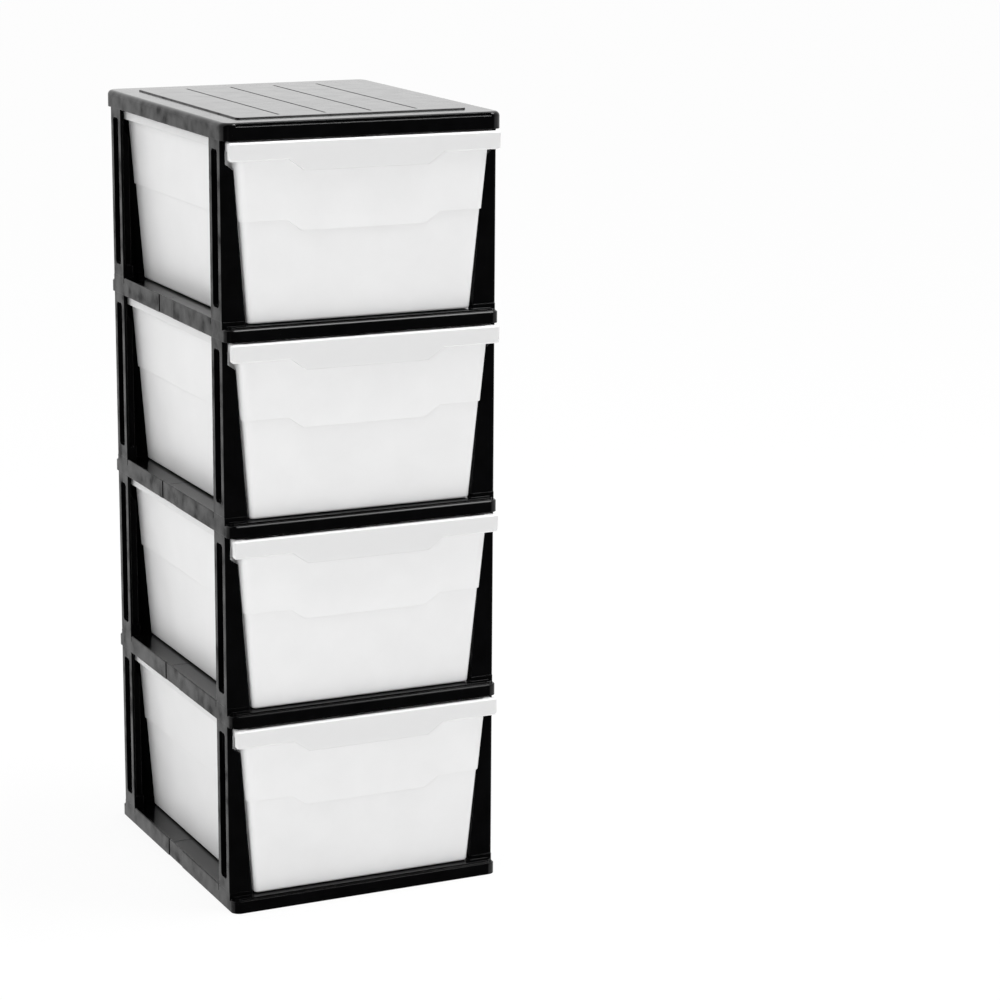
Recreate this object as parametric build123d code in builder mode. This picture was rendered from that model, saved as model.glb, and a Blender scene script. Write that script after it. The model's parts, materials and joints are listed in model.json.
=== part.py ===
"""Free-standing drawer tower: translucent tapered drawers in a plug-together black frame.

Origin: floor level, on the centre line of the frame. +Z is up and the drawers open along -Y.
"""
from build123d import *
from math import radians, tan
import os

os.makedirs("parts", exist_ok=True)

# Tower
tier_count = 4
tier_pitch = 200.0  # underside of one shelf to the underside of the next
frame_width = 300.0  # over the side faces of posts and shelves
post_span = 330.0  # front faces of the front posts to rear faces of the rear posts
fit_clearance = 0.2  # each side of a tenon or tongue in its socket
pick = 0.1  # reach of a selection by position

# Shelf, moulded as a front half and a rear half
rail_overhang = 12.5  # front and rear rails ahead of the posts
rail_height = 12.5
rail_corner_radius = 9.0
lip_depth = 4.5  # ledge round the deck
lip_bevel = 1.2
deck_height = 14.5
deck_thickness = 2.6
curb_height = 19.0  # top of the side rails and of the post seats
curb_width = 3.0
curb_bevel = 0.8
curb_slit = 1.2  # gap between a curb and the seat beside it
shelf_wall = 2.6
rib_thickness = 2.0
rib_recess = 1.5  # ribs stop this far above the shelf's underside
cross_ribs = 4
long_ribs = 3
runner_width = 6.0
runner_height = 0.5
runner_inset = 27.0  # inside the side of the drawer's floor
runner_end = 32.5  # runner's end to the shelf's end
seam_offset = 21.0  # seam between the halves, behind the centre line
seam_gap = 0.6
lap_length = 42.0  # sleeve at the seam end of each front half
lap_step = 0.6
tongue_width = 34.0
tongue_length = 30.0
tongue_root = 16.0
tongue_thickness = 2.4

# Post, an L-section with a blind channel in its side face
post_width = 31.5  # side face, along Y
post_depth = 10.8  # channel section, along X
flange_thickness = 3.0
flange_clearance = 1.0  # front flange's edge to the drawer's band
return_depth = 12.0  # rib behind the inner edge of a front flange
return_thickness = 2.0
stop_lap = 12.0  # rear flange behind the drawer, inside its side
rim_clearance = 1.0  # post to the drawer's side rim
notch_height = 24.0  # stretch at the post's top that lets the rim pass
notch_slope = 6.0
slot_width = 16.5
slot_end_bevel = 2.5
slot_bottom_margin = 13.0
slot_top_margin = 10.0
slot_depth = 9.0
slot_top_depth = 3.5  # behind the rim's path
channel_wall = 2.0
post_lip = 2.4  # rear edge of the side face
post_edge_bevel = 0.8
foot_tenon = (6.0, 20.0)
head_tenon = (2.6, 22.0)
tenon_length = 7.0

# Lid
lid_overhang = 1.5  # past the shelves on every side
lid_height = 17.5
lid_corner_radius = 12.0
lid_edge_radius = 5.0
lid_wall = 2.6
lid_ledge_end = 13.5  # end of the ledge to the side of the lid
lid_ledge_height = 13.5  # ledge above the skirt's lower edge
lid_ledge_depth = 2.0
panel_strips = 5
panel_side_margin = 26.5  # panel to the side of the lid
panel_end_margin = 32.5  # panel to the front and rear of the lid
panel_rise = 1.4
panel_corner_radius = 4.0
panel_edge_bevel = 0.5
groove_width = 2.4
groove_depth = 1.2
groove_end_margin = 13.0  # groove's end to the end of the panel

# Drawer
slide_clearance = 0.3  # drawer floor above its runners
tub_draft = 4.25  # front and sides, degrees
tub_rear_draft = 0.3
tub_wall = 2.0
tub_floor = 2.2
tub_floor_bevels = (1.4, 0.5)  # first cut and the cut of its edges
tub_floor_bevel = 3.0  # inside, round the floor
tub_corner_radius = 6.0
tub_corner_bevel = 3.0  # inside
band_step = 1.7  # upper band stands proud of the lower tub
band_height = 119.0  # band's lower edge above the shelf's underside
wave_drop = 11.5
wave_half_width = 67.0  # low stretch in the middle of each wave
wave_ramp = 16.0
rim_gap = 1.5  # rim below the next shelf
rim_side_inset = 6.5  # rim inside the frame's side face
rim_front_reach = 18.5  # rim ahead of the front posts
rim_rear_inset = 8.0  # rim inside the rear face of the rear posts
rim_side_width = 6.1  # rim past the band, at the mouth
rim_front_width = 2.8
rim_rear_width = 4.2
rim_thickness = 2.2
rim_side_height = 9.5
rim_corner_bevel = 2.0
rim_edge_bevel = 1.5
ear_height = 18.4  # front rim beside the apron
ear_side_inset = 3.0  # ear inside the frame's side face
ear_depth = 5.0  # turned-back end of an ear
ear_corner_bevel = 1.2  # upright front corner
ear_lower_radius = 3.0
apron_gap = 1.5  # apron's back to the face of the posts

# Sizes that follow from the ones above
half_width = frame_width / 2
half_span = post_span / 2
shelf_depth = post_span + 2 * rail_overhang
cross_rib_spacing = shelf_depth / cross_ribs
long_rib_spacing = frame_width / (long_ribs + 1)
lid_width = frame_width + 2 * lid_overhang
lid_depth = shelf_depth + 2 * lid_overhang
panel_width = lid_width - 2 * panel_side_margin
panel_depth = lid_depth - 2 * panel_end_margin
cavity_height = deck_height - deck_thickness
post_height = tier_pitch - curb_height
drawer_bottom = deck_height + runner_height + slide_clearance
rim_top = tier_pitch - rim_gap
rim_half_width = half_width - rim_side_inset
ear_half_width = half_width - ear_side_inset
rim_front = half_span + rim_front_reach
rim_rear = half_span - rim_rear_inset
through = 2 * tier_pitch

corners = {
    "front_left": (-1, -1),
    "front_right": (1, -1),
    "rear_left": (-1, 1),
    "rear_right": (1, 1),
}


def tub_side(z):
    """Half width of the lower tub at height z above the shelf's underside."""
    mouth = rim_half_width - rim_side_width - band_step
    return mouth - (rim_top - z) * tan(radians(tub_draft))


def flange_edge(z, end):
    """Distance from the centre line to the inner edge of a front (-1) or rear (1) flange."""
    if end > 0:
        return tub_side(z) - stop_lap
    return tub_side(z) + band_step + flange_clearance


def tub_front_face(z):
    """Place of the lower tub's front face at height z, along Y."""
    mouth = rim_front - rim_front_width - band_step
    return (rim_top - z) * tan(radians(tub_draft)) - mouth


def tub_rear_face(z):
    """Place of the lower tub's rear face at height z, along Y."""
    mouth = rim_rear - rim_rear_width - band_step
    return mouth - (rim_top - z) * tan(radians(tub_rear_draft))


def tub_form(base, top, grow):
    """Tapered block between two heights, grown outwards from the lower tub's faces."""
    with BuildPart() as form:
        with BuildSketch(Plane.XZ):
            with BuildLine():
                Polyline(
                    (-tub_side(base) - grow, base),
                    (tub_side(base) + grow, base),
                    (tub_side(top) + grow, top),
                    (-tub_side(top) - grow, top),
                    close=True,
                )
            make_face()
        extrude(amount=through, both=True)
        with BuildSketch(Plane.YZ):
            with BuildLine():
                Polyline(
                    (tub_front_face(base) - grow, base),
                    (tub_rear_face(base) + grow, base),
                    (tub_rear_face(top) + grow, top),
                    (tub_front_face(top) - grow, top),
                    close=True,
                )
            make_face()
        extrude(amount=through, both=True, mode=Mode.INTERSECT)
        uprights = edges().filter_by(lambda edge: edge.bounding_box().size.Z > pick)
        if grow < 0:
            chamfer(uprights, length=tub_corner_bevel)
        else:
            fillet(uprights, radius=tub_corner_radius + grow)
    return form.part


def wave_outline(top, low, width):
    """Corner points of a band whose lower edge dips between two ramps."""
    inner = wave_half_width
    outer = wave_half_width + wave_ramp
    return [
        (-width, top),
        (-width, low),
        (-outer, low),
        (-inner, low - wave_drop),
        (inner, low - wave_drop),
        (outer, low),
        (width, low),
        (width, top),
    ]


# Middle of a post's side face, and the tenons' places in plan
post_middle = half_span - post_width / 2
foot_place = (half_width - post_depth / 2, post_middle)
rim_path = half_width - rim_half_width - rim_clearance
head_place = (half_width - rim_path / 2, post_middle)


def at_corners(place):
    """The same place mirrored into the four corners of the frame."""
    x, y = place
    return GridLocations(2 * x, 2 * y, 2, 2)


# Shelf, whole
with BuildPart() as shelf:
    with BuildSketch():
        RectangleRounded(frame_width, shelf_depth, rail_corner_radius)
    extrude(amount=rail_height)
    with BuildSketch(Plane.XY.offset(rail_height)) as deck:
        Rectangle(frame_width - 2 * lip_depth, shelf_depth - 2 * lip_depth)
        chamfer(deck.vertices(), length=lip_depth / 2)
    extrude(amount=deck_height - rail_height)

    # hollow underside
    cavity_inset = 2 * (lip_depth + shelf_wall)
    with BuildSketch():
        Rectangle(frame_width - cavity_inset, shelf_depth - cavity_inset)
    extrude(amount=cavity_height, mode=Mode.SUBTRACT)

    # ribs under the deck
    with BuildSketch(Plane.XY.offset(rib_recess)):
        with GridLocations(0, cross_rib_spacing, 1, cross_ribs):
            Rectangle(frame_width - cavity_inset, rib_thickness)
        with GridLocations(long_rib_spacing, 0, long_ribs, 1):
            Rectangle(rib_thickness, shelf_depth - cavity_inset)
    extrude(amount=cavity_height - rib_recess)

    # socket blocks that rise into seats with the posts' section
    with BuildSketch():
        with at_corners(foot_place):
            Rectangle(post_depth, post_width)
        for end in (-1, 1):
            flange_reach = half_width - flange_edge(curb_height, end)
            with Locations((0, end * (half_span - flange_thickness / 2))):
                with GridLocations(frame_width - flange_reach, 0, 2, 1):
                    Rectangle(flange_reach, flange_thickness)
        with Locations((0, return_depth / 2 - half_span)):
            with GridLocations(2 * flange_edge(curb_height, -1) + return_thickness, 0, 2, 1):
                Rectangle(return_thickness, return_depth)
    extrude(amount=curb_height)

    # side rails between the seats
    curb_length = post_span - 2 * (post_width + curb_slit)
    with BuildSketch(Plane.XY.offset(rail_height)):
        with GridLocations(frame_width - curb_width, 0, 2, 1):
            Rectangle(curb_width, curb_length)
    extrude(amount=curb_height - rail_height)
    curb_edges = edges().filter_by(Axis.Y).group_by(Axis.Z)[-1]
    chamfer(curb_edges.filter_by(lambda edge: edge.length > curb_length - pick), length=curb_bevel)

    # runners for the drawer
    with BuildSketch(Plane.XY.offset(deck_height)):
        with GridLocations(2 * (tub_side(drawer_bottom) - runner_inset), 0, 2, 1):
            Rectangle(runner_width, shelf_depth - 2 * runner_end)
    extrude(amount=runner_height)

    # sockets for the posts above and below
    with BuildSketch(Plane.XY.offset(curb_height)):
        with at_corners(foot_place):
            Rectangle(foot_tenon[0] + 2 * fit_clearance, foot_tenon[1] + 2 * fit_clearance)
    extrude(amount=-tenon_length - fit_clearance, mode=Mode.SUBTRACT)
    with BuildSketch():
        with at_corners(head_place):
            Rectangle(head_tenon[0] + 2 * fit_clearance, head_tenon[1] + 2 * fit_clearance)
    extrude(amount=tenon_length + fit_clearance, mode=Mode.SUBTRACT)

    # soft top edge along the front and rear rails
    rail_tops = edges().filter_by_position(Axis.Z, rail_height - pick, rail_height + pick)
    for side in (-1, 1):
        reach = side * shelf_depth / 2
        front_edge = rail_tops.filter_by(Axis.X).filter_by_position(Axis.Y, reach - pick, reach + pick)
        chamfer(front_edge, length=lip_bevel)

# Front half of the shelf, with the sleeve at its seam end
with BuildPart() as shelf_front:
    add(shelf.part)
    split(bisect_by=Plane.XZ.offset(seam_gap / 2 - seam_offset), keep=Keep.TOP)
    with BuildSketch():
        with Locations((0, seam_offset - lap_length / 2)):
            with GridLocations(frame_width - lap_step, 0, 2, 1):
                Rectangle(lap_step, lap_length)
    extrude(amount=curb_height, mode=Mode.SUBTRACT)

# Rear half of the shelf, with tongues that slide under the front half's deck
with BuildPart() as shelf_rear:
    add(shelf.part)
    split(bisect_by=Plane.XZ.offset(-seam_gap / 2 - seam_offset), keep=Keep.BOTTOM)
    tongue_base = cavity_height - fit_clearance - tongue_thickness
    with BuildSketch(Plane.XY.offset(tongue_base)):
        with Locations((0, seam_offset - tongue_length / 2 + tongue_root / 2)):
            with GridLocations(long_rib_spacing, 0, long_ribs + 1, 1):
                Rectangle(tongue_width, tongue_length + tongue_root)
    extrude(amount=tongue_thickness)
    with BuildSketch(Plane.XY.offset(tongue_base)):
        with Locations((0, seam_offset + seam_gap / 2 + tongue_root / 2)):
            with GridLocations(long_rib_spacing, 0, long_ribs + 1, 1):
                Rectangle(tongue_width, tongue_root)
    extrude(amount=cavity_height - tongue_base)


def post_form(end):
    """Front (-1) or rear (1) post, as it stands in or mirrored into the rear right corner."""
    notch_base = tier_pitch - notch_height
    notch_foot = notch_base - notch_slope
    channel_inside = half_width - post_depth
    notch_inside = half_width - rim_path
    face_plane = Plane.XZ.offset(-half_span)
    with BuildPart() as post:
        with BuildSketch(face_plane):
            with BuildLine():
                Polyline(
                    (half_width, curb_height),
                    (half_width, tier_pitch),
                    (notch_inside, tier_pitch),
                    (notch_inside, notch_base),
                    (channel_inside, notch_foot),
                    (channel_inside, curb_height),
                    close=True,
                )
            make_face()
        extrude(amount=post_width)

        # flange that follows the drawer's taper
        if end < 0:
            flange_top = [(notch_inside, tier_pitch), (notch_inside, notch_base)]
            flange_top.append((flange_edge(notch_foot, end), notch_foot))
        else:
            flange_top = [(flange_edge(tier_pitch, end), tier_pitch)]
        flange_bottom = (flange_edge(curb_height, end), curb_height)
        with BuildSketch(face_plane):
            with BuildLine():
                Polyline(
                    (half_width, curb_height),
                    (half_width, tier_pitch),
                    *flange_top,
                    flange_bottom,
                    close=True,
                )
            make_face()
        extrude(amount=flange_thickness)
        if end < 0:
            with BuildSketch(face_plane):
                with BuildLine():
                    Polyline(
                        flange_bottom,
                        (flange_edge(notch_foot, end), notch_foot),
                        (flange_edge(notch_foot, end) + return_thickness, notch_foot),
                        (flange_edge(curb_height, end) + return_thickness, curb_height),
                        close=True,
                    )
                make_face()
            extrude(amount=return_depth)

        # thin lip along the inner edge of the side face
        core_width = (post_width - slot_width) / 2 - channel_wall
        slot_base = curb_height + slot_bottom_margin
        with BuildSketch(Plane.XY.offset(slot_base)):
            with Locations((channel_inside, half_span - post_width)):
                Rectangle(post_depth - post_lip, core_width, align=(Align.MIN, Align.MIN))
        extrude(amount=through, mode=Mode.SUBTRACT)

        # blind channel, shallow behind the rim's path
        slot_top = tier_pitch - slot_top_margin
        channel_top = notch_foot - channel_wall
        channel_base = slot_base + slot_end_bevel
        with BuildSketch(Plane.YZ.offset(half_width)) as slot:
            with Locations((post_middle, (slot_base + slot_top) / 2)):
                Rectangle(slot_width, slot_top - slot_base)
            chamfer(slot.vertices(), length=slot_end_bevel)
        extrude(amount=-slot_top_depth, mode=Mode.SUBTRACT)
        with BuildSketch(Plane.YZ.offset(half_width)):
            with Locations((post_middle, (channel_base + channel_top) / 2)):
                Rectangle(slot_width, channel_top - channel_base)
        extrude(amount=-slot_depth, mode=Mode.SUBTRACT)

        upright = edges().filter_by(Axis.Z)
        outer_edges = upright.filter_by_position(Axis.X, half_width - pick, half_width + pick)
        chamfer(outer_edges.filter_by(lambda edge: edge.length > post_height - pick), length=post_edge_bevel)

        with BuildSketch(Plane.XY.offset(curb_height)):
            with Locations(foot_place):
                Rectangle(*foot_tenon)
        extrude(amount=-tenon_length)
        with BuildSketch(Plane.XY.offset(tier_pitch)):
            with Locations(head_place):
                Rectangle(*head_tenon)
        extrude(amount=tenon_length)
    return post.part


post_forms = {end: post_form(end) for end in (-1, 1)}

# Lid
with BuildPart() as lid:
    with BuildSketch():
        RectangleRounded(lid_width, lid_depth, lid_corner_radius)
    extrude(amount=lid_height)
    fillet(faces().sort_by(Axis.Z)[-1].edges(), radius=lid_edge_radius)

    # upright ledge along the front and rear of the skirt
    with BuildSketch(Plane.XY.offset(lid_ledge_height)):
        with GridLocations(0, lid_depth - lid_ledge_depth, 1, 2):
            Rectangle(lid_width - 2 * lid_ledge_end, lid_ledge_depth)
    extrude(amount=lid_height, mode=Mode.SUBTRACT)

    # raised panel, divided into strips
    with BuildSketch(Plane.XY.offset(lid_height)):
        RectangleRounded(panel_width, panel_depth, panel_corner_radius)
    extrude(amount=panel_rise)
    chamfer(faces().sort_by(Axis.Z)[-1].edges(), length=panel_edge_bevel)
    with BuildSketch(Plane.XY.offset(lid_height + panel_rise)):
        with GridLocations(panel_width / panel_strips, 0, panel_strips - 1, 1):
            Rectangle(groove_width, panel_depth - 2 * groove_end_margin)
    extrude(amount=-groove_depth, mode=Mode.SUBTRACT)

    # hollow underside with ribs and socket blocks
    lid_cavity = lid_height - lid_wall
    with BuildSketch():
        lid_border = 2 * (lid_wall + lid_edge_radius)
        Rectangle(lid_width - lid_border, lid_depth - lid_border)
    extrude(amount=lid_cavity, mode=Mode.SUBTRACT)
    with BuildSketch(Plane.XY.offset(rib_recess)):
        with GridLocations(0, cross_rib_spacing, 1, cross_ribs):
            Rectangle(lid_width - lid_border, rib_thickness)
        with GridLocations(long_rib_spacing, 0, long_ribs, 1):
            Rectangle(rib_thickness, lid_depth - lid_border)
    extrude(amount=lid_cavity - rib_recess)
    with BuildSketch():
        with at_corners(foot_place):
            Rectangle(post_depth, post_width)
    extrude(amount=lid_cavity)
    with BuildSketch():
        with at_corners(head_place):
            Rectangle(head_tenon[0] + 2 * fit_clearance, head_tenon[1] + 2 * fit_clearance)
    extrude(amount=tenon_length + fit_clearance, mode=Mode.SUBTRACT)

# Upper band of the drawer, with a wave along its lower edge
with BuildPart() as band:
    add(tub_form(band_height - wave_drop, rim_top, band_step))
    with BuildSketch(Plane.XZ.offset(through)):
        with BuildLine():
            Polyline(*wave_outline(through, band_height, half_width), close=True)
        make_face()
    extrude(amount=-2 * through, mode=Mode.INTERSECT)

# Rim round the drawer's mouth
rim_plan = Plane.XY.offset(rim_top)
rim_middle = (rim_rear - rim_front) / 2
with BuildPart() as rim:
    with BuildSketch(rim_plan):
        with Locations((0, rim_middle)):
            Rectangle(2 * rim_half_width, rim_front + rim_rear)
        chamfer(vertices(), length=rim_corner_bevel)
    extrude(amount=-rim_side_height)
    chamfer(faces().sort_by(Axis.Z)[-1].edges(), length=rim_edge_bevel)
    with BuildSketch(rim_plan.offset(-rim_side_height)):
        with Locations((0, rim_middle)):
            Rectangle(2 * (rim_half_width - rim_thickness), rim_front + rim_rear - 2 * rim_thickness)
    extrude(amount=rim_side_height - rim_thickness, mode=Mode.SUBTRACT)

# Front apron of the rim, with an ear over each front post
with BuildPart() as apron:
    with BuildSketch(Plane.XZ.offset(half_span + apron_gap)):
        with BuildLine():
            Polyline(*wave_outline(rim_top, rim_top - ear_height, ear_half_width), close=True)
        make_face()
    extrude(amount=rim_front_reach - apron_gap)
    for outermost in (0, -1):
        ear_end = edges().filter_by(Axis.Y).group_by(Axis.X)[outermost]
        fillet(ear_end.sort_by(Axis.Z)[0], radius=ear_lower_radius)
        ear_front = edges().filter_by(Axis.Z).group_by(Axis.X)[outermost]
        chamfer(ear_front.sort_by(Axis.Y)[0], length=ear_corner_bevel)
    chamfer(faces().sort_by(Axis.Z)[-1].edges().sort_by(Axis.Y)[:-1], length=rim_edge_bevel)

    # behind each ear, only its top and its turned-back end are left
    ear_root = tub_side(rim_top) + band_step
    ear_core = ear_half_width - rim_thickness - ear_root
    with BuildSketch(rim_plan):
        with GridLocations(ear_half_width + ear_root, 0, 2, 1):
            Rectangle(ear_half_width - ear_root, 2 * (rim_front - ear_depth))
    extrude(amount=-through, mode=Mode.SUBTRACT)
    with BuildSketch(rim_plan.offset(-rim_thickness)):
        with GridLocations(2 * ear_root + ear_core, 0, 2, 1):
            Rectangle(ear_core, 2 * (rim_front - rim_thickness))
    extrude(amount=-through, mode=Mode.SUBTRACT)

# Space inside the drawer's lower tub
with BuildPart() as hollow:
    add(tub_form(drawer_bottom + tub_floor, through, -tub_wall))
    chamfer(faces().sort_by(Axis.Z)[0].edges(), length=tub_floor_bevel)

# Drawer
with BuildPart() as drawer:
    add(tub_form(drawer_bottom, rim_top, 0))
    first_bevel, second_bevel = tub_floor_bevels
    chamfer(faces().sort_by(Axis.Z)[0].edges(), length=first_bevel)
    low_edges = edges().filter_by_position(Axis.Z, drawer_bottom - pick, drawer_bottom + first_bevel + pick)
    chamfer(low_edges.filter_by(lambda edge: edge.bounding_box().size.Z < pick), length=second_bevel)
    add(band.part)
    add(rim.part)
    add(apron.part)
    add(hollow.part, mode=Mode.SUBTRACT)
    add(tub_form(band_height + tub_wall, through, band_step - tub_wall), mode=Mode.SUBTRACT)

# Each piece in its place, one file apiece
with BuildPart() as placed_lid:
    add(lid.part.moved(Location((0, 0, tier_count * tier_pitch))))
placed_lid.part.label = "lid"
export_step(placed_lid.part, "parts/lid.step")

for tier in range(tier_count):
    level = Location((0, 0, (tier_count - 1 - tier) * tier_pitch))
    number = tier + 1
    for half, name in ((shelf_front, "front"), (shelf_rear, "rear")):
        with BuildPart() as shelf_half:
            add(half.part.moved(level))
        shelf_half.part.label = f"shelf_{number}_{name}"
        export_step(shelf_half.part, f"parts/shelf_{number}_{name}.step")
    for corner, (side, end) in corners.items():
        with BuildPart() as corner_post:
            add(post_forms[end].moved(level))
            if side < 0:
                mirror(about=Plane.YZ, mode=Mode.REPLACE)
            if end < 0:
                mirror(about=Plane.XZ, mode=Mode.REPLACE)
        corner_post.part.label = f"post_{number}_{corner}"
        export_step(corner_post.part, f"parts/post_{number}_{corner}.step")
    with BuildPart() as placed_drawer:
        add(drawer.part.moved(level))
    placed_drawer.part.label = f"drawer_{number}"
    export_step(placed_drawer.part, f"parts/drawer_{number}.step")
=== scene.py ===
import json
from math import cos, radians, sin

import bpy
from mathutils import Matrix, Vector

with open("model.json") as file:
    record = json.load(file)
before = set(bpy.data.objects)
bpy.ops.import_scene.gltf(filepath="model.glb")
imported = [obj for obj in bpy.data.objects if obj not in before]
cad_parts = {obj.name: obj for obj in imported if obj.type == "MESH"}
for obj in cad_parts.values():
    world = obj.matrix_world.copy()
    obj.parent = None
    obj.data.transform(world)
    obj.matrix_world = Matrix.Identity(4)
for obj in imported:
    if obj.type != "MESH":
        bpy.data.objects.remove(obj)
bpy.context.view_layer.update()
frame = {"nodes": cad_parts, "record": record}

# View, in metres and degrees; azimuth 0 looks along +Y
CAMERA_PLACE = (-1.2097, -2.9992, 1.1593)
CAMERA_AZIMUTH = -25.753
CAMERA_ELEVATION = 13.413
CAMERA_ROLL = -0.442
CAMERA_LENS_MM = 111.03
SENSOR_MM = 36.0

# Studio
FLOOR_SIZE = 60.0
FLOOR_COLOR = (0.9, 0.9, 0.9, 1.0)
FLOOR_GLOW = 0.9  # share of plain white in what is seen of the floor
FLOOR_SKIN = 3.0  # cycles per metre
FLOOR_ROUGHNESS = (0.75, 0.85)
SKY_COLOR = (1.0, 1.0, 1.0, 1.0)
SKY_BACK = 1.2
SKY_FRONT = 0.6
LAMP_TARGET = (0, 0, 0.4)
KEY_PLACE = (-1.5, -1.7, 0.8)
KEY_SIZE = (0.7, 1.8)
KEY_POWER = 9.0
TOP_PLACE = (1.0, -0.4, 2.9)
TOP_SIZE = (1.2, 1.2)
TOP_POWER = 45.0

# Black moulding; bump depths and edge radii in metres, noise in cycles per metre
FRAME_COLOR = (0.0009, 0.0009, 0.0010, 1.0)
FRAME_SHEEN_COLOR = (0.0020, 0.0020, 0.0022, 1.0)
FRAME_ROUGHNESS = (0.13, 0.17)
FRAME_PATCHES = 45.0
FRAME_RIPPLE, FRAME_RIPPLE_DEPTH = 28.0, 0.0001
FRAME_SKIN, FRAME_SKIN_DEPTH = 1400.0, 0.000002
FRAME_EDGE = 0.0011  # sharp edges seem rounded to this radius
FRAME_GLOSS = (0.01, 0.28)  # seen square on, and at a slant
GLOSS_TILT = (0.155, 0.22)  # Layer Weight's Facing between the two
BLOTCHES = 55.0
BLOTCH_GLOSS = (0.1, 0.85)  # share of the gloss on the side faces

# Milky moulding
DRAWER_COLOR = (0.83, 0.83, 0.83, 1.0)
DRAWER_CLOUD_COLOR = (0.86, 0.86, 0.86, 1.0)
RIM_PAINTED_SHADE = (0.75, 0.75, 0.75, 1.0)  # painted shade on upright faces: rim and apron
RIM_LEAN = (0.02, 0.05)  # upright to drafted, as the normal's part along Z
DRAWER_ROUGHNESS = (0.32, 0.40)
DRAWER_CLOUDS = 22.0
DRAWER_WAVES, DRAWER_WAVE_DEPTH = 9.0, 0.0008
DRAWER_SKIN, DRAWER_SKIN_DEPTH = 900.0, 0.000004
DRAWER_EDGE = 0.0007
DRAWER_IOR = 1.49
DRAWER_TRANSMISSION = 0.06
DRAWER_SUBSURFACE = 0.3
DRAWER_SUBSURFACE_RADIUS = (1.0, 1.0, 1.0)  # red, green and blue alike
DRAWER_SUBSURFACE_SCALE = 0.003

NOISE_RANGE = (0.3, 0.7)  # where nearly all of a noise's values lie
FULL_RANGE = (0.0, 1.0)
EDGE_SAMPLES = 4


def add_node(tree, kind, **settings):
    """A shader node, with its inputs or properties set by name."""
    node = tree.nodes.new(kind)
    for name, value in settings.items():
        label = name.replace("_", " ").title()
        if label in node.inputs:
            node.inputs[label].default_value = value
        else:
            setattr(node, name, value)
    return node


def noise(tree, scale, detail=2.0):
    """Noise in the piece's own space, at a scale in cycles per metre."""
    place = add_node(tree, "ShaderNodeTexCoord")
    texture = add_node(tree, "ShaderNodeTexNoise", scale=scale, detail=detail)
    tree.links.new(place.outputs["Object"], texture.inputs["Vector"])
    return texture.outputs["Fac"]


def remap(tree, value, source, target):
    """A value moved from one range to another, and kept within it."""
    span = add_node(tree, "ShaderNodeMapRange")
    span.inputs["From Min"].default_value, span.inputs["From Max"].default_value = source
    span.inputs["To Min"].default_value, span.inputs["To Max"].default_value = target
    tree.links.new(value, span.inputs["Value"])
    return span.outputs["Result"]


def calculate(tree, operation, *values):
    """A math node's result; each value is a number or a socket."""
    node = add_node(tree, "ShaderNodeMath", operation=operation)
    for socket, value in zip(node.inputs, values):
        if isinstance(value, bpy.types.NodeSocket):
            tree.links.new(value, socket)
        else:
            socket.default_value = value
    return node.outputs["Value"]


def blend_colors(tree, share, first, second):
    """A colour from first to second; each is a colour or a socket."""
    mix = add_node(tree, "ShaderNodeMix", data_type="RGBA")
    tree.links.new(share, mix.inputs["Factor"])
    for socket in mix.inputs:
        if socket.type == "RGBA":
            color = first if socket.name == "A" else second
            if isinstance(color, bpy.types.NodeSocket):
                tree.links.new(color, socket)
            else:
                socket.default_value = color
    return next(socket for socket in mix.outputs if socket.type == "RGBA")


def normal_part(tree, axis):
    """How far the surface faces along an axis, either way, from 0 to 1."""
    surface = add_node(tree, "ShaderNodeNewGeometry")
    axes = add_node(tree, "ShaderNodeSeparateXYZ")
    tree.links.new(surface.outputs["True Normal"], axes.inputs["Vector"])
    return calculate(tree, "ABSOLUTE", axes.outputs[axis])


def rounded_normal(tree, radius, bumps):
    """A normal that softens sharp edges, then takes each (noise, depth) in turn."""
    edge = add_node(tree, "ShaderNodeBevel", radius=radius)
    edge.samples = EDGE_SAMPLES
    normal = edge.outputs["Normal"]
    for value, depth in bumps:
        bump = add_node(tree, "ShaderNodeBump", distance=depth)
        tree.links.new(value, bump.inputs["Height"])
        tree.links.new(normal, bump.inputs["Normal"])
        normal = bump.outputs["Normal"]
    return normal


def frame_gloss(tree, normal):
    """Gloss that shows at a slant and on rounded edges, blotchy on the side faces."""
    tilt = add_node(tree, "ShaderNodeLayerWeight")
    tree.links.new(normal, tilt.inputs["Normal"])
    gloss = remap(tree, tilt.outputs["Facing"], GLOSS_TILT, FRAME_GLOSS)
    blotches = remap(tree, noise(tree, BLOTCHES), NOISE_RANGE, BLOTCH_GLOSS)
    dulled = calculate(tree, "SUBTRACT", 1.0, blotches)
    loss = calculate(tree, "MULTIPLY", dulled, normal_part(tree, "X"))
    return calculate(tree, "MULTIPLY", gloss, calculate(tree, "SUBTRACT", 1.0, loss))


def black_plastic():
    """Gloss black moulding: faint sink ripples, a fine skin and patchy gloss."""
    material = bpy.data.materials.new("frame_black")
    material.use_nodes = True
    tree = material.node_tree
    shader = tree.nodes["Principled BSDF"]
    ripple = noise(tree, FRAME_RIPPLE, detail=1.0)
    skin = noise(tree, FRAME_SKIN)
    patches = remap(tree, noise(tree, FRAME_PATCHES, detail=4.0), NOISE_RANGE, FULL_RANGE)
    bumps = [(ripple, FRAME_RIPPLE_DEPTH), (skin, FRAME_SKIN_DEPTH)]
    normal = rounded_normal(tree, FRAME_EDGE, bumps)
    color = blend_colors(tree, patches, FRAME_COLOR, FRAME_SHEEN_COLOR)
    tree.links.new(color, shader.inputs["Base Color"])
    roughness = remap(tree, patches, FULL_RANGE, FRAME_ROUGHNESS)
    tree.links.new(roughness, shader.inputs["Roughness"])
    tree.links.new(frame_gloss(tree, normal), shader.inputs["Specular IOR Level"])
    tree.links.new(normal, shader.inputs["Normal"])
    return material


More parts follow.
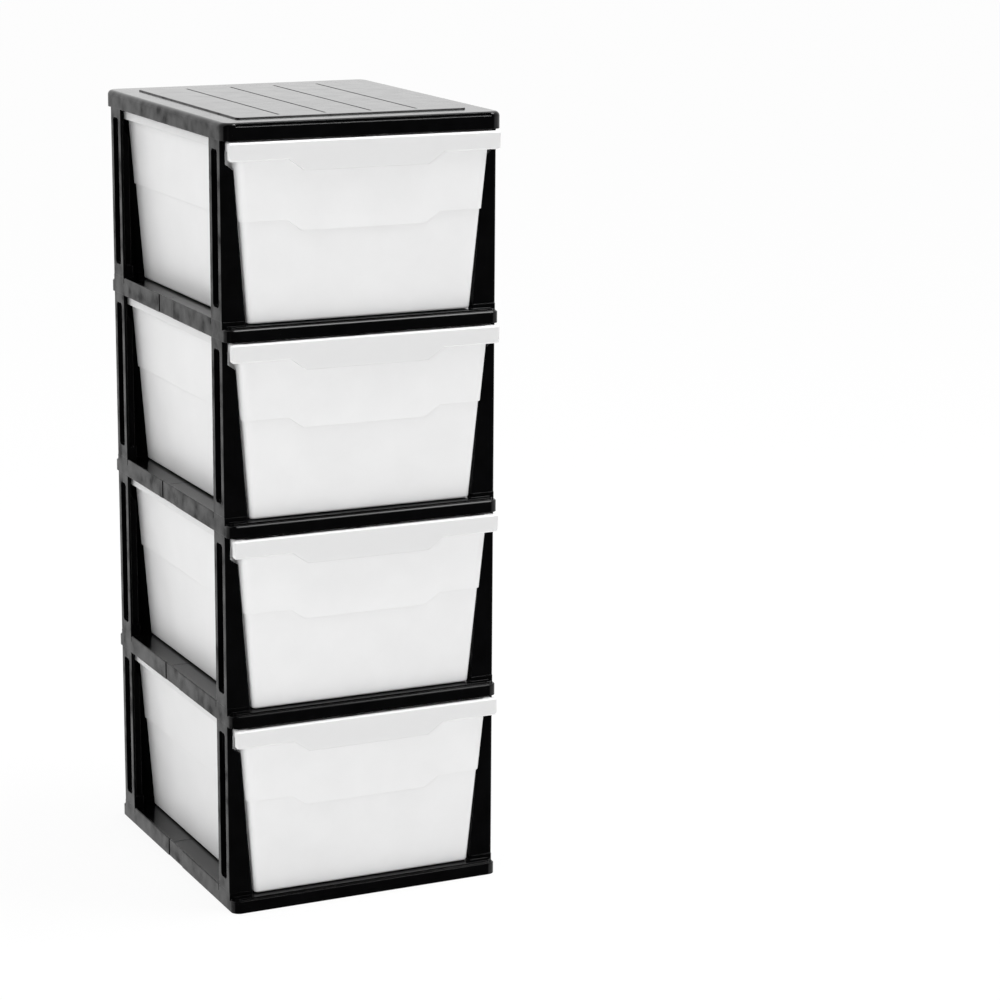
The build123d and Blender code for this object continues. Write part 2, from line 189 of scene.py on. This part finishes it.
def milky_plastic():
    """Translucent white moulding: cloudy walls, painted shade on the upright rim and apron,
    satin skin and slow waves.
    """
    material = bpy.data.materials.new("drawer_white")
    material.use_nodes = True
    tree = material.node_tree
    shader = tree.nodes["Principled BSDF"]
    shader.inputs["IOR"].default_value = DRAWER_IOR
    shader.inputs["Transmission Weight"].default_value = DRAWER_TRANSMISSION
    shader.inputs["Subsurface Weight"].default_value = DRAWER_SUBSURFACE
    shader.inputs["Subsurface Radius"].default_value = DRAWER_SUBSURFACE_RADIUS
    shader.inputs["Subsurface Scale"].default_value = DRAWER_SUBSURFACE_SCALE
    waves = noise(tree, DRAWER_WAVES, detail=1.0)
    skin = noise(tree, DRAWER_SKIN)
    clouds = remap(tree, noise(tree, DRAWER_CLOUDS, detail=3.0), NOISE_RANGE, FULL_RANGE)
    walls = blend_colors(tree, clouds, DRAWER_COLOR, DRAWER_CLOUD_COLOR)
    # Painted shade: upright faces, the rim and apron, get the darker colour; drafted walls
    # keep the cloudy wall colour.
    drafted = remap(tree, normal_part(tree, "Z"), RIM_LEAN, FULL_RANGE)
    color = blend_colors(tree, drafted, RIM_PAINTED_SHADE, walls)
    tree.links.new(color, shader.inputs["Base Color"])
    roughness = remap(tree, clouds, FULL_RANGE, DRAWER_ROUGHNESS)
    tree.links.new(roughness, shader.inputs["Roughness"])
    bumps = [(waves, DRAWER_WAVE_DEPTH), (skin, DRAWER_SKIN_DEPTH)]
    normal = rounded_normal(tree, DRAWER_EDGE, bumps)
    tree.links.new(normal, shader.inputs["Normal"])
    return material


def floor_finish():
    """Pale floor with a barely uneven skin, whitened where it is seen, shadows kept."""
    material = bpy.data.materials.new("floor")
    material.use_nodes = True
    tree = material.node_tree
    shader = tree.nodes["Principled BSDF"]
    shader.inputs["Base Color"].default_value = FLOOR_COLOR
    shader.inputs["Specular IOR Level"].default_value = 0.0
    roughness = remap(tree, noise(tree, FLOOR_SKIN), NOISE_RANGE, FLOOR_ROUGHNESS)
    tree.links.new(roughness, shader.inputs["Roughness"])
    path = add_node(tree, "ShaderNodeLightPath")
    seen = path.outputs["Is Camera Ray"]
    for name in ("Is Glossy Ray", "Is Transmission Ray"):
        seen = calculate(tree, "MAXIMUM", seen, path.outputs[name])
    glow = add_node(tree, "ShaderNodeEmission")
    mix = add_node(tree, "ShaderNodeMixShader")
    share, lit, white = mix.inputs
    tree.links.new(calculate(tree, "MULTIPLY", seen, FLOOR_GLOW), share)
    tree.links.new(shader.outputs["BSDF"], lit)
    tree.links.new(glow.outputs["Emission"], white)
    tree.links.new(mix.outputs["Shader"], tree.nodes["Material Output"].inputs["Surface"])
    return material


def place_camera():
    """Camera at the photograph's angle."""
    azimuth = radians(CAMERA_AZIMUTH)
    elevation = radians(CAMERA_ELEVATION)
    level = cos(elevation)
    back = Vector((sin(azimuth) * level, -cos(azimuth) * level, sin(elevation)))
    right = Vector((0, 0, 1)).cross(back).normalized()
    up = back.cross(right)
    turn = Matrix((right, up, back)).transposed()
    roll = Matrix.Rotation(-radians(CAMERA_ROLL), 3, "Z")
    camera = bpy.data.objects.new("camera", bpy.data.cameras.new("camera"))
    camera.matrix_world = Matrix.Translation(CAMERA_PLACE) @ (turn @ roll).to_4x4()
    camera.data.sensor_fit = "HORIZONTAL"
    camera.data.sensor_width = SENSOR_MM
    camera.data.lens = CAMERA_LENS_MM
    camera.data.clip_end = FLOOR_SIZE
    bpy.context.collection.objects.link(camera)
    bpy.context.scene.camera = camera


def lay_floor():
    """Floor that the tower stands on."""
    half = FLOOR_SIZE / 2
    mesh = bpy.data.meshes.new("floor")
    corners = [(-half, -half, 0), (half, -half, 0), (half, half, 0), (-half, half, 0)]
    mesh.from_pydata(corners, [], [(0, 1, 2, 3)])
    mesh.materials.append(floor_finish())
    floor = bpy.data.objects.new("floor", mesh)
    bpy.context.collection.objects.link(floor)


def light_sky():
    """Soft white surround, brighter behind the tower than in front of it."""
    world = bpy.data.worlds.new("studio")
    bpy.context.scene.world = world
    world.use_nodes = True
    tree = world.node_tree
    background = tree.nodes["Background"]
    background.inputs["Color"].default_value = SKY_COLOR
    place = add_node(tree, "ShaderNodeTexCoord")
    axes = add_node(tree, "ShaderNodeSeparateXYZ")
    tree.links.new(place.outputs["Generated"], axes.inputs["Vector"])
    strength = remap(tree, axes.outputs["Y"], (-1.0, 1.0), (SKY_FRONT, SKY_BACK))
    tree.links.new(strength, background.inputs["Strength"])


def hang_lamp(name, place, size, power):
    """Softbox of a given width and height that faces the tower."""
    lamp = bpy.data.objects.new(name, bpy.data.lights.new(name, "AREA"))
    lamp.data.shape = "RECTANGLE"
    lamp.data.size, lamp.data.size_y = size
    lamp.data.energy = power
    lamp.location = place
    away = Vector(place) - Vector(LAMP_TARGET)
    lamp.rotation_euler = away.to_track_quat("Z", "Y").to_euler()
    lamp.visible_camera = False
    bpy.context.collection.objects.link(lamp)


def finish_pieces():
    """Gives each CAD piece the finish of its slot."""
    finishes = {"frame_black": black_plastic(), "drawer_white": milky_plastic()}
    for part in frame["record"]["subparts"]:
        node = frame["nodes"][part["node"]]
        for slot in node.material_slots:
            slot.material = finishes[part["material_slot"]]


bpy.context.scene.view_settings.view_transform = "Standard"
place_camera()
lay_floor()
light_sky()
hang_lamp("key", KEY_PLACE, KEY_SIZE, KEY_POWER)
hang_lamp("top", TOP_PLACE, TOP_SIZE, TOP_POWER)
finish_pieces()
